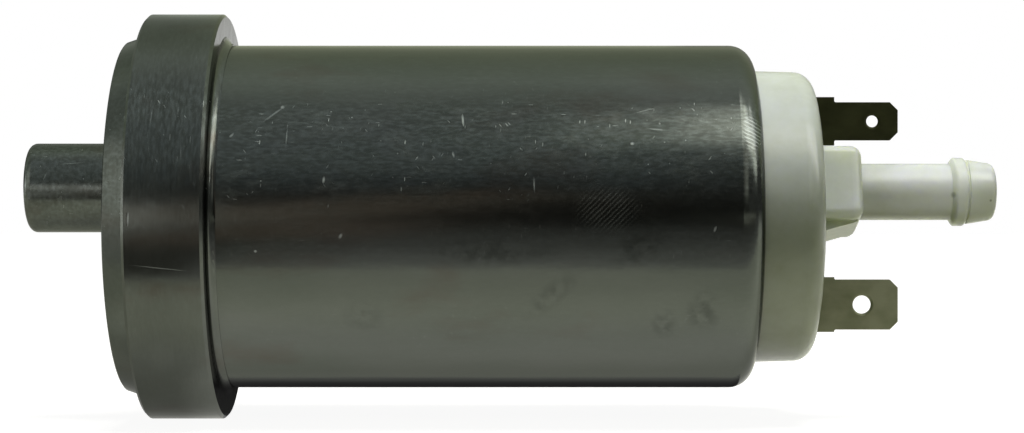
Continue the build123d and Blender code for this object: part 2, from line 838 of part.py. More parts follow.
# White end cap: skirt in the tube, face, boss and nipple, hollow behind.
def make_end_cap():
    seat_r = tube_bore_r - loose_gap
    shoulder = cap_left + skirt_length
    inner_roll = roll_r - tube_wall + press_gap
    shell = outline(
        (cap_left, 0),
        (cap_left, seat_r),
        (shoulder, seat_r),
        (shoulder, cap_r),
        (cap_face, cap_r - cap_draft),
        (cap_face, 0),
    )
    shell = round_corner(shell, (shoulder, seat_r), min(inner_roll, seat_r - cap_r - seal_gap))
    shell = round_corner(shell, (cap_face, cap_r - cap_draft), cap_edge_r)
    cap = turned(shell)
    cap += rod(cap_face - root_depth, cap_face + face_disc_height, face_disc_r)
    cap += make_boss() + make_nipple()
    cap -= make_cavity()
    cap -= seal_groove(cap_left + cap_groove_margin)
    cap -= rod(valve_left - 1, valve_right, valve_r, 0, outlet_offset)
    cap -= rod(valve_left, nipple_right + 1, nipple_bore_r, 0, outlet_offset)
    for side in (1, -1):
        cap -= rod(cap_left - 1, foot_left, spring_pocket_r, side * brush_offset)
    wide = blade_thick + 2 * slot_gap
    for offset, shoulder in ((small_offset, small_shoulder), (large_offset, large_shoulder)):
        cap -= bar(cavity_floor - 1, cap_face + 2, wide, shoulder + 2 * slot_gap, 0, offset)
    return cap


# Hollow of the end cap, around the valve and the spring columns with the web between them.
def make_cavity():
    cavity = rod(cap_left - 1, cavity_floor, cavity_r)
    cavity -= rod(valve_left, cavity_floor, valve_r + valve_wall, 0, outlet_offset)
    column_right = foot_left - slot_gap
    cavity -= bar(valve_left, column_right, 2 * brush_offset, column_web)
    for side in (1, -1):
        column_r = spring_pocket_r + spring_pocket_wall
        cavity -= rod(cap_left, column_right, column_r, side * brush_offset)
    return cavity


# Seat pressed into the mouth of the check valve.
def make_valve_seat():
    x1 = valve_left + seat_thick
    return rod(valve_left, x1, valve_r - press_gap, 0, outlet_offset) - rod(
        valve_left - 1, x1 + 1, seat_hole_r, 0, outlet_offset
    )


# Check valve poppet, with a stem that guides its spring.
def make_valve_poppet():
    x0 = valve_left + seat_thick + side_gap
    head = rod(x0, x0 + poppet_thick, poppet_r, 0, outlet_offset)
    head = chamfer(head.edges().group_by(Axis.X)[0], poppet_bevel)
    stem_right = x0 + poppet_thick + poppet_stem_length
    return head + rod(x0 + poppet_bevel, stem_right, poppet_stem_r, 0, outlet_offset)


def make_valve_spring():
    x0 = valve_left + seat_thick + side_gap + poppet_thick
    return coil_spring(
        "valve_spring",
        x0,
        valve_right,
        valve_spring_r,
        valve_spring_wire,
        valve_spring_turns,
        z=outlet_offset,
    )


parts = {
    "housing_tube": make_housing_tube(),
    "mounting_collar": make_mounting_collar(),
    "inlet_cover": make_inlet_cover(),
    "inlet_stub": make_inlet_stub(),
    "inlet_cover_seal": make_seal(tube_left + cover_groove_margin),
    "pump_ring": make_pump_ring(),
    "outer_rotor": make_outer_rotor(),
    "inner_rotor": make_inner_rotor(),
    "outlet_plate": make_outlet_plate(),
    "pump_screws": make_pump_screws(),
    "front_bearing": make_bearing(plate_left + front_bearing_setback, plate_right + front_bearing_proud),
    "relief_ball": make_relief_ball(),
    "relief_spring": make_relief_spring(),
    "armature_shaft": make_armature_shaft(),
    "armature_core": make_armature_core(),
    "armature_winding": make_armature_winding(),
    "shaft_spacer": make_shaft_spacer(),
    "front_thrust_washer": make_washer(front_washer_left),
    "rear_thrust_washer": make_washer(rear_washer_left),
    "commutator_hub": make_commutator_hub(),
    "commutator_bars": make_commutator_bars(),
    "magnet_upper": make_magnet(90),
    "magnet_lower": make_magnet(270),
    "magnet_clip_front": make_magnet_clip(180),
    "magnet_clip_back": make_magnet_clip(0),
    "brush_holder": make_brush_holder(),
    "rear_bearing": make_bearing(rear_bearing_left, rear_bearing_left + rear_bearing_length),
    "brush_positive": make_brush(1),
    "brush_negative": make_brush(-1),
    "brush_spring_positive": make_brush_spring("brush_spring_positive", 1),
    "brush_spring_negative": make_brush_spring("brush_spring_negative", -1),
    "brush_lead_positive": make_brush_lead(1),
    "brush_lead_negative": make_brush_lead(-1),
    "terminal_small": make_terminal(
        1, small_offset, small_width, small_shoulder, small_hole_r, small_hole_back
    ),
    "terminal_large": make_terminal(
        -1, large_offset, large_width, large_shoulder, large_hole_r, large_hole_back
    ),
    "end_cap": make_end_cap(),
    "end_cap_seal": make_seal(cap_left + cap_groove_margin),
    "check_valve_seat": make_valve_seat(),
    "check_valve_poppet": make_valve_poppet(),
    "check_valve_spring": make_valve_spring(),
}

os.makedirs("parts", exist_ok=True)
for name, solid in parts.items():
    solid.label = name
    export_step(solid, f"parts/{name}.step")
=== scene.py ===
import json
import math

import bmesh
import bpy
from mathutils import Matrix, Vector


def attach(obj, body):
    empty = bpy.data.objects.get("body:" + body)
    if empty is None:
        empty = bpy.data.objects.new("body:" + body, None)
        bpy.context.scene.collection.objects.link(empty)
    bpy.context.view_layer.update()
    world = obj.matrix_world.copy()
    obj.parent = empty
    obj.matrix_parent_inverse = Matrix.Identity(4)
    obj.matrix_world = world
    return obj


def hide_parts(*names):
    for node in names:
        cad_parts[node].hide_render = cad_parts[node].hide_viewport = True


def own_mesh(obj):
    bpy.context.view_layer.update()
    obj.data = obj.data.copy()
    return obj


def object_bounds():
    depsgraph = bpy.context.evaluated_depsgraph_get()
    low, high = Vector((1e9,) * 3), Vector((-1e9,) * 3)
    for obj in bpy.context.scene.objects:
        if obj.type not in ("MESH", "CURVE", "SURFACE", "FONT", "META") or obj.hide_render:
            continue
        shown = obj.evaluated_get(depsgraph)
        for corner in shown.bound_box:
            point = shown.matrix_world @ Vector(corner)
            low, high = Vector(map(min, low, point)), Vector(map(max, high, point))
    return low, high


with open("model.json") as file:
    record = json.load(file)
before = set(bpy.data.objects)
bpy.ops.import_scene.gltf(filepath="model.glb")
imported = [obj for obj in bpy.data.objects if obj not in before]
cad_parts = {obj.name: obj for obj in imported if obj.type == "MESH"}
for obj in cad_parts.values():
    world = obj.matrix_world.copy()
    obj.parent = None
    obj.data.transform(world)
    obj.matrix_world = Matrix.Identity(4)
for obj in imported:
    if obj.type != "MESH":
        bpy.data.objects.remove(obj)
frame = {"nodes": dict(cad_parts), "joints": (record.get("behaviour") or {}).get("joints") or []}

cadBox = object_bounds()
mm = 0.001


def linear(hexColour):
    # an sRGB hex value as the linear colour that a shader works in
    shares = [int(hexColour[i:i + 2], 16) / 255 for i in (1, 3, 5)]
    return tuple(s / 12.92 if s <= 0.04045 else ((s + 0.055) / 1.055) ** 2.4 for s in shares) + (1.0,)


def addNode(tree, kind, inputs=None, **settings):
    # adds a node with its settings and sets or links its inputs; a node as an input means its first output
    node = tree.nodes.new("ShaderNode" + kind)
    for name, value in settings.items():
        setattr(node, name, value)
    for name, value in (inputs or {}).items():
        if isinstance(value, bpy.types.Node):
            value = value.outputs[0]
        if isinstance(value, bpy.types.NodeSocket):
            tree.links.new(value, node.inputs[name])
        else:
            node.inputs[name].default_value = value
    return node


def newMaterial(name):
    # a material with an empty node tree
    material = bpy.data.materials.new(name)
    material.use_nodes = True
    material.node_tree.nodes.clear()
    return material, material.node_tree


def newFinish(name, values):
    # a material with one Principled shader, its fixed numbers set on its own sockets
    material, tree = newMaterial(name)
    shader = addNode(tree, "BsdfPrincipled", {
        "Base Color": linear(values["colour"]),
        "Metallic": values.get("metallic", 0.0),
        "Roughness": values["roughness"],
        **values.get("sockets", {}),
    })
    addNode(tree, "OutputMaterial", {"Surface": shader})
    return material, tree, shader


def placeIn(tree, size, turn=(0, 0, 0), middle=(0, 0, 0)):
    # Object coordinates about a middle, turned, and divided by a real size in millimetres along each axis
    return addNode(tree, "Mapping", {
        "Vector": addNode(tree, "TexCoord").outputs["Object"],
        "Location": [m * mm for m in middle],
        "Rotation": [math.radians(t) for t in turn],
        "Scale": [s * mm for s in size],
    }, vector_type="TEXTURE")


def clouds(tree, size, low, high, detail):
    # soft patches as large as size in millimetres: 0 where their noise is low, 1 where it is high
    noise = addNode(tree, "TexNoise", {"Vector": placeIn(tree, size), "Scale": 1.0, "Detail": detail})
    return addNode(tree, "MapRange", {"Value": noise, "From Min": low, "From Max": high})


def dashes(tree, size, share, turn):
    # short strokes, one in some of the cells of a Voronoi pattern that is stretched along them
    edge, core = 0.22, 0.11  # how far from a cell's point its stroke starts and is at its full strength
    fading = 1.5             # leaves more of the strokes faint than strong
    cells = addNode(tree, "TexVoronoi", {"Vector": placeIn(tree, size, turn), "Scale": 1.0})
    mark = addNode(tree, "MapRange", {
        "Value": cells.outputs["Distance"], "From Min": edge, "From Max": core})
    random = addNode(tree, "SeparateColor", {"Color": cells.outputs["Color"]})
    kept = addNode(tree, "Math", {0: random, 1: share}, operation="LESS_THAN")
    shown = addNode(tree, "Math", {0: mark, 1: kept}, operation="MULTIPLY")
    strength = addNode(tree, "Math", {0: random.outputs[1], 1: fading}, operation="POWER")
    return addNode(tree, "Math", {0: shown, 1: strength}, operation="MULTIPLY")


def spotAt(tree, middle, half, turn=0.0, core=0.5):
    # a soft spot from 1 to 0 with its middle and half widths in millimetres, turned in the front view
    place = placeIn(tree, half, (0, -turn, 0), middle)
    far = addNode(tree, "VectorMath", {0: place}, operation="LENGTH").outputs["Value"]
    return addNode(tree, "MapRange", {"Value": far, "From Min": 1.0, "From Max": core})


def hatchAt(tree, middle, half, spacing, turn):
    # fine parallel lines inside a soft spot; spacing in millimetres, turn in degrees in the front view
    period = 0.314  # a wave texture repeats after this share of its unit
    place = placeIn(tree, (spacing / period,) * 3, (0, -turn, 0))
    wave = addNode(tree, "TexWave", {
        "Vector": place, "Scale": 1.0, "Distortion": 1.2, "Detail": 2.0, "Detail Scale": 1.5})
    line = addNode(tree, "MapRange", {"Value": wave, "From Min": 0.45, "From Max": 0.95})
    return addNode(tree, "Math", {0: line, 1: spotAt(tree, middle, half)}, operation="MULTIPLY")


def steps(tree, value, stops):
    # a colour that follows a value through (value, colour) stops; one number stands for a grey
    low, high = stops[0][0], stops[-1][0]
    share = addNode(tree, "MapRange", {"Value": value, "From Min": low, "From Max": high})
    ramp = addNode(tree, "ValToRGB", {0: share})
    while len(ramp.color_ramp.elements) < len(stops):
        ramp.color_ramp.elements.new(0.5)
    for element, (at, colour) in zip(ramp.color_ramp.elements, stops):
        element.position = (at - low) / (high - low)
        element.color = (*colour, 1.0) if isinstance(colour, tuple) else (colour, colour, colour, 1.0)
    return ramp


def overlaid(tree, base, layers):
    # colours laid over a base, each as far as its share says
    for share, colour in layers:
        # a Mix node has its share at input 0, and its colours at inputs 6 and 7 and output 2
        base = addNode(tree, "Mix", {0: share, 6: base, 7: colour}, data_type="RGBA").outputs[2]
    return base


def handlingMarks(tree, values, rubbed):
    # what handling left, from 0 to 1: short strokes where the piece is rubbed, single scratches and hatching
    marks = 0.0
    for size, share, turn in values["strokes"]:
        marks = addNode(tree, "Math", {0: marks, 1: dashes(tree, size, share, turn)}, operation="MAXIMUM")
    marks = addNode(tree, "Math", {0: marks, 1: rubbed}, operation="MULTIPLY")
    for x, z, length, width, slope, strength in values["scratches"]:
        half = (length / 2, values["scratchReach"], width / 2)
        spot = spotAt(tree, (x, -values["radius"], z), half, slope, core=0.2)
        line = addNode(tree, "Math", {0: spot, 1: strength}, operation="MULTIPLY")
        marks = addNode(tree, "Math", {0: marks, 1: line}, operation="MAXIMUM")
    for middle, half, spacing, slope, strength in values.get("hatches", ()):
        hatch = hatchAt(tree, middle, half, spacing, slope)
        lines = addNode(tree, "Math", {0: hatch, 1: strength}, operation="MULTIPLY")
        marks = addNode(tree, "Math", {0: marks, 1: lines}, operation="MAXIMUM")
    return marks


def fingerSmudges(tree, values):
    # greasy finger marks, from 0 to 1: soft spots broken up as skin prints them
    smudge = 0.0
    for middle, half, slope, strength in values.get("smudges", ()):
        spot = spotAt(tree, middle, half, slope, core=0.3)
        skin = clouds(tree, values["skinSize"], low=0.38, high=0.60, detail=3.0)
        inside = addNode(tree, "Math", {0: spot, 1: skin}, operation="MULTIPLY")
        smudge = addNode(tree, "Math", {0: inside, 1: strength, 2: smudge}, operation="MULTIPLY_ADD")
    return smudge


def platedSteel(name, values):
    # Steel with a dark zinc plating, drawn or turned before it was plated: clear, slightly wavy mirror images
    # with soft edges, faint streaks along the tool's way, and handling wear, which is rougher and so scatters
    # light into the dark reflections. A few bright scratches and specks lie on it.
    material, tree, shader = newFinish(name, values)
    broad = clouds(tree, values["patch"], low=0.35, high=0.65, detail=3.0)
    stain = clouds(tree, values["stainPatch"], low=0.56, high=0.74, detail=4.0)
    worn = clouds(tree, values["wornPatch"], low=0.34, high=0.62, detail=3.0)
    streak = clouds(tree, values["streak"], low=0.30, high=0.70, detail=3.0)
    mottle = clouds(tree, values["mottle"], low=0.36, high=0.80, detail=2.0)
    speckle = clouds(tree, values["speckle"], low=0.40, high=0.80, detail=3.0)
    wave = addNode(tree, "TexNoise", {"Vector": placeIn(tree, values["wave"]), "Scale": 1.0, "Detail": 2.0})
    height = addNode(tree, "SeparateXYZ", {0: addNode(tree, "TexCoord").outputs["Object"]}).outputs[2]
    heightInMm = addNode(tree, "Math", {0: height, 1: 1 / mm}, operation="MULTIPLY")
    rub = steps(tree, heightInMm, values["rubByHeight"])
    rubbed = addNode(tree, "Math", {0: rub, 1: worn}, operation="MULTIPLY")
    marks = handlingMarks(tree, values, rubbed)
    smudge = fingerSmudges(tree, values)

    drawn = addNode(tree, "Math", {0: streak, 1: rub}, operation="MULTIPLY")
    streaks = addNode(tree, "Math", {0: drawn, 1: values["streakTone"]}, operation="MULTIPLY")
    specks = addNode(tree, "Math", {0: speckle, 1: rub}, operation="MULTIPLY")
    stains = addNode(tree, "Math", {0: stain, 1: values["stainTone"]}, operation="MULTIPLY")
    tones = ((broad, "dull"), (streaks, "deep"), (specks, "rubbed"), (stains, "stain"), (smudge, "grease"),
             (marks, "bare"))
    colour = overlaid(tree, linear(values["colour"]), [
        (share, linear(values[tone])) for share, tone in tones])
    tree.links.new(colour, shader.inputs["Base Color"])

    scuffed = addNode(tree, "Math", {0: mottle, 1: rubbed}, operation="MULTIPLY")
    rough = values["roughness"]
    for value, share in ((scuffed, "scuffRough"), (marks, "markRough"), (smudge, "smudgeRough")):
        rough = addNode(tree, "Math", {0: value, 1: values[share], 2: rough}, operation="MULTIPLY_ADD")
    tree.links.new(rough.outputs[0], shader.inputs["Roughness"])

    relief = 0.0
    for value, depth in ((wave, "waveDepth"), (drawn, "streakDepth"), (scuffed, "scuffDepth"),
                         (marks, "markDepth")):
        relief = addNode(tree, "Math", {0: value, 1: values[depth], 2: relief}, operation="MULTIPLY_ADD")
    bump = addNode(tree, "Bump", {"Height": relief, "Strength": 1.0, "Distance": mm})
    tree.links.new(bump.outputs[0], shader.inputs["Normal"])
    return material


# What the plated pieces have in common. Sizes and depths are in millimetres, and a pattern has a size along
# X, Y and Z. The streaks are drawn coarser than real tool lines, which are about 0.1 mm wide and don't show.
plating = {
    "metallic": 1.0, "sockets": {"Specular Tint": linear("#cfcfcf")},
    "grease": "#31342f", "stainTone": 0.4, "markRough": 0.35, "smudgeRough": 0.10,
    "scratchReach": 12,  # how deep into the round surface a scratch's spot reaches
    "skinSize": (1.3, 1.3, 1.3),
}

# The tube was drawn, so its streaks run along it. It is rubbed from just below the axis up to 14 mm above it.
drawnTube = {
    **plating, "radius": 21.5, "roughness": 0.17,
    "colour": "#5a5d57", "dull": "#545851", "deep": "#40433f", "stain": "#4c4038", "bare": "#a3a8a3",
    "patch": (26, 9, 9), "stainPatch": (16, 7, 7), "wornPatch": (8, 5, 5),
    "streak": (7, 0.5, 0.5), "streakTone": 0.5, "streakDepth": 0.0018,
    "speckle": (0.9, 0.35, 0.35), "rubbed": "#6c716c",
    "mottle": (2.2, 1.2, 1.2), "scuffRough": 0.16, "scuffDepth": 0.005,
    "wave": (13, 3.2, 3.2), "waveDepth": 0.035, "markDepth": -0.010,
    # how much the surface is rubbed at each height above the axis
    "rubByHeight": [(-30, 0.05), (-7, 0.10), (-3, 0.35), (0, 0.35), (3, 0.8), (5, 1.0), (12, 0.95),
                    (14.5, 0.25), (30, 0.06)],
    # short strokes: cell size, the share of the cells that have one, and the cells' turn in degrees
    "strokes": [((0.30, 1.5, 1.5), 0.16, (0, 4, 0)), ((0.32, 1.5, 1.5), 0.10, (4, 35, 5)),
                ((0.32, 1.5, 1.5), 0.08, (5, -38, 8)), ((2.0, 0.30, 0.30), 0.10, (0, 3, 0)),
                ((0.5, 0.5, 0.5), 0.07, (0, 0, 0))],
    # single scratches and specks: X and Z of the middle, length, width, slope in degrees, strength
    "scratches": [
        (-23.6, 12.3, 4.2, 0.34, 38, 0.55), (-22.8, 13.0, 0.7, 0.55, 0, 0.95),
        (-22.1, 9.4, 2.5, 0.20, 88, 0.60), (-17.6, 4.3, 1.0, 0.38, 84, 1.0),
        (-28.6, 9.6, 0.8, 0.34, 48, 0.9), (-1.3, 11.4, 1.8, 0.32, 96, 1.0),
        (-2.4, 7.3, 0.9, 0.30, 104, 0.85), (-15.6, -2.3, 0.9, 0.50, 60, 0.75),
        (-25.6, -4.1, 0.5, 0.42, 0, 0.95), (7.1, 3.7, 2.3, 0.24, 92, 0.75),
        (18.7, 8.6, 0.55, 0.45, 0, 1.0), (21.6, 10.3, 2.5, 0.20, -6, 0.55),
        (20.4, 12.6, 3.4, 0.16, 14, 0.45), (28.3, -1.5, 1.0, 0.40, 70, 0.75),
    ],
    # hatching: middle, half widths, spacing of its lines, slope, strength
    "hatches": [((15.7, -21.4, 0.9), (4.4, 6, 3.1), 0.46, -45, 0.22),
                ((33.0, -18.0, 9.8), (1.4, 6, 2.4), 0.40, 62, 0.5)],
    # finger smudges: middle, half widths, slope, strength
    "smudges": [
        ((22.6, -17.5, -12.8), (1.8, 5, 2.2), 20, 0.40), ((27.2, -17.5, -11.2), (2.4, 5, 3.0), 0, 0.45),
        ((9.0, -19.5, -9.4), (5.0, 5, 1.6), 40, 0.30), ((-13.0, -18.5, -12.0), (3.0, 5, 2.4), 0, 0.22),
        ((2.0, -21.0, -4.2), (9.0, 5, 1.9), 0, 0.45), ((19.5, -21.0, -3.6), (4.5, 5, 2.4), 30, 0.5),
    ],
}

# The collar was turned, so its streaks run round it.
turnedCollar = {
    **plating, "radius": 25.4, "roughness": 0.18,
    "colour": "#595c56", "dull": "#51544e", "deep": "#3c403c", "stain": "#4a3f37", "bare": "#a0a5a1",
    "patch": (8, 9, 9), "stainPatch": (9, 6, 6), "wornPatch": (5, 5, 5),
    "streak": (0.26, 9, 9), "streakTone": 0.5, "streakDepth": 0.0012,
    "speckle": (0.30, 1.1, 1.1), "rubbed": "#6a6f6b",
    "mottle": (1.0, 2.0, 2.0), "scuffRough": 0.15, "scuffDepth": 0.004,
    "wave": (6, 3.4, 3.4), "waveDepth": 0.035, "markDepth": -0.010,
    "rubByHeight": [(-30, 0.10), (-10, 0.14), (-5, 0.3), (0, 0.3), (5, 0.8), (14, 1.0), (18, 0.3),
                    (30, 0.1)],
    "strokes": [((0.24, 2.6, 2.6), 0.26, (0, 0, 0)), ((0.30, 1.5, 1.5), 0.10, (3, -30, 5)),
                ((1.8, 0.30, 0.30), 0.08, (0, 2, 0)), ((0.5, 0.5, 0.5), 0.06, (0, 0, 0))],
    "scratches": [(-36.3, -6.0, 8.0, 0.14, -6, 0.55), (-39.9, -0.3, 1.9, 0.34, 88, 0.95),
                  (-37.6, 11.6, 2.6, 0.20, 86, 0.40), (-33.9, 7.4, 2.0, 0.18, 92, 0.35)],
}

# The cover and its stub were turned too, and are a little rougher.
turnedCover = {
    **plating, "radius": 5.6, "roughness": 0.20,
    "colour": "#5b5e58", "dull": "#50544e", "deep": "#3e423e", "stain": "#4a4038", "bare": "#9aa09b",
    "patch": (9, 7, 7), "stainPatch": (8, 6, 6), "wornPatch": (5, 4, 4),
    "streak": (0.3, 8, 8), "streakTone": 0.45, "streakDepth": 0.0012,
    "speckle": (0.5, 0.5, 0.5), "rubbed": "#6a6f6b",
    "mottle": (1.2, 1.2, 1.2), "scuffRough": 0.16, "scuffDepth": 0.004,
    "wave": (5, 3, 3), "waveDepth": 0.020, "markDepth": -0.008,
    "rubByHeight": [(-30, 0.1), (-4, 0.2), (1, 0.7), (4, 1.0), (8, 0.8), (12, 0.4), (30, 0.2)],
    "strokes": [((0.30, 1.5, 1.5), 0.14, (0, 6, 0)), ((1.8, 0.28, 0.28), 0.16, (0, 2, 0)),
                ((0.45, 0.45, 0.45), 0.08, (0, 0, 0))],
    "scratches": [(-50.2, 6.6, 3.6, 0.16, 4, 0.45), (-53.4, 4.9, 1.2, 0.2, 70, 0.4)],
}

steelTube = platedSteel("drawnSteelDarkZinc", drawnTube)
steelCollar = platedSteel("turnedSteelDarkZinc", turnedCollar)
steelCover = platedSteel("turnedCoverDarkZinc", turnedCover)
print("dark plated steels ready")


def mouldedNylon(name, values):
    # Natural nylon, injection moulded: off-white and a little see-through, so that its shade turns olive,
    # with a soft gloss, faint flow clouding and a fine spark-eroded mould grain.
    material, tree, shader = newFinish(name, values)
    flow = clouds(tree, values["flow"], low=0.32, high=0.68, detail=3.0)
    fleck = clouds(tree, values["fleck"], low=0.30, high=0.70, detail=3.0)
    flecks = addNode(tree, "Math", {0: fleck, 1: values["fleckTone"]}, operation="MULTIPLY")
    soot = 0.0
    for middle, half, strength in values["marks"]:
        dark = addNode(tree, "Math", {0: spotAt(tree, middle, half), 1: strength}, operation="MULTIPLY")
        soot = addNode(tree, "Math", {0: soot, 1: dark}, operation="MAXIMUM")
    colour = overlaid(tree, linear(values["colour"]), [
        (flow, linear(values["deep"])), (flecks, linear(values["pale"])), (soot, linear(values["mark"]))])
    tree.links.new(colour, shader.inputs["Base Color"])
    rough = addNode(tree, "Math", {0: fleck, 1: values["fleckRough"], 2: values["roughness"]},
                    operation="MULTIPLY_ADD")
    tree.links.new(rough.outputs[0], shader.inputs["Roughness"])
    grain = addNode(tree, "TexNoise", {
        "Vector": placeIn(tree, values["grain"]), "Scale": 1.0, "Detail": 3.0})
    bump = addNode(tree, "Bump", {"Height": grain, "Strength": 1.0, "Distance": values["grainDepth"] * mm})
    tree.links.new(bump.outputs[0], shader.inputs["Normal"])
    along = addNode(tree, "SeparateXYZ", {0: addNode(tree, "TexCoord").outputs["Object"]})
    start = values["thinFrom"] * mm
    end = (values["thinFrom"] + values["thinOver"]) * mm
    for socket, thick, thin in values["byWall"]:
        share = addNode(tree, "MapRange", {
            "Value": along, "From Min": start, "From Max": end, "To Min": thick, "To Max": thin})
        tree.links.new(share.outputs[0], shader.inputs[socket])
    return material


capNylon = {
    "colour": "#dadfd2", "deep": "#cfd4c1", "pale": "#e4e8e0", "mark": "#55584a",
    "roughness": 0.17, "fleckTone": 0.22, "fleckRough": 0.10,
    "sockets": {"IOR": 1.53, "Subsurface Radius": (2.2 * mm, 2.3 * mm, 1.4 * mm)},
    # the mould grain is drawn coarser than the real one, which is under 0.1 mm and would not show
    "flow": (6, 5, 5), "fleck": (0.9, 0.9, 0.9), "grain": (0.4, 0.4, 0.4), "grainDepth": 0.006,
    # from this X on, the boss and the nipple have thin walls, which let more light through
    "thinFrom": 43.2, "thinOver": 1.5,
    "byWall": [("Subsurface Weight", 0.35, 0.9), ("Subsurface Scale", 1.0, 2.6)],
    # dark specks on the nipple: middle, half widths, strength
    "marks": [((59.5, -4.3, 2.7), (0.36, 2, 0.5), 0.5), ((64.2, -3.6, 2.0), (0.20, 2, 0.2), 0.6)],
}
nylon = mouldedNylon("naturalNylonMoulded", capNylon)


def stampedBlade(name, values):
    # Stamped brass strip with a tin layer: near flat sheen, fine rolling lines along the strip,
    # darker where the tin has oxidised.
    material, tree, shader = newFinish(name, values)
    dull = clouds(tree, values["patch"], low=0.35, high=0.70, detail=3.0)
    rolled = clouds(tree, values["lines"], low=0.25, high=0.75, detail=2.0)
    colour = overlaid(tree, linear(values["colour"]), [(dull, linear(values["oxide"]))])
    tree.links.new(colour, shader.inputs["Base Color"])
    rough = addNode(tree, "Math", {0: rolled, 1: values["lineRough"], 2: values["roughness"]},
                    operation="MULTIPLY_ADD")
    tree.links.new(rough.outputs[0], shader.inputs["Roughness"])
    bump = addNode(tree, "Bump", {"Height": rolled, "Strength": 1.0, "Distance": values["lineDepth"] * mm})
    tree.links.new(bump.outputs[0], shader.inputs["Normal"])
    return material


# rolling lines, drawn coarser than the real ones, which are too fine to show
rolledStrip = {"patch": (3.5, 2.5, 2.5), "lines": (6, 0.16, 0.16), "lineRough": 0.08, "lineDepth": 0.003}
# both blades are the same tinned brass: the small blade's near-black colour is painted shade, and the large
# blade's pale olive is painted light
smallBladePaintedShade = {
    **rolledStrip, "colour": "#43452c", "oxide": "#323420", "metallic": 0.75, "roughness": 0.38,
    "sockets": {"Specular Tint": linear("#9a9a8c")},
}
largeBladePaintedLit = {
    **rolledStrip, "colour": "#929479", "oxide": "#7b7e61", "metallic": 0.6, "roughness": 0.42,
    "sockets": {"Specular Tint": linear("#a8a896")},
}
# the small blade's finish carries painted shade, the large blade's finish painted light
bladePaintedShade = stampedBlade("tinnedBrassPaintedShade", smallBladePaintedShade)
bladePaintedLit = stampedBlade("tinnedBrassPaintedLit", largeBladePaintedLit)
print("cap and blade finishes ready")


def grainedFinish(name, values):
    # One builder for the pieces inside: two tones in patches, a surface grain with its own direction
    # and depth, and a roughness that follows it.
    material, tree, shader = newFinish(name, values)
    patches = clouds(tree, values["patch"], low=0.35, high=0.68, detail=3.0)
    grain = clouds(tree, values["grain"], low=0.28, high=0.72, detail=2.0)
    grains = addNode(tree, "Math", {0: grain, 1: values["grainTone"]}, operation="MULTIPLY")
    colour = overlaid(tree, linear(values["colour"]), [
        (patches, linear(values["second"])), (grains, linear(values["third"]))])
    tree.links.new(colour, shader.inputs["Base Color"])
    rough = addNode(tree, "Math", {0: grain, 1: values["grainRough"], 2: values["roughness"]},
                    operation="MULTIPLY_ADD")
    tree.links.new(rough.outputs[0], shader.inputs["Roughness"])
    bump = addNode(tree, "Bump", {"Height": grain, "Strength": 1.0, "Distance": values["depth"] * mm})
    tree.links.new(bump.outputs[0], shader.inputs["Normal"])
    return material


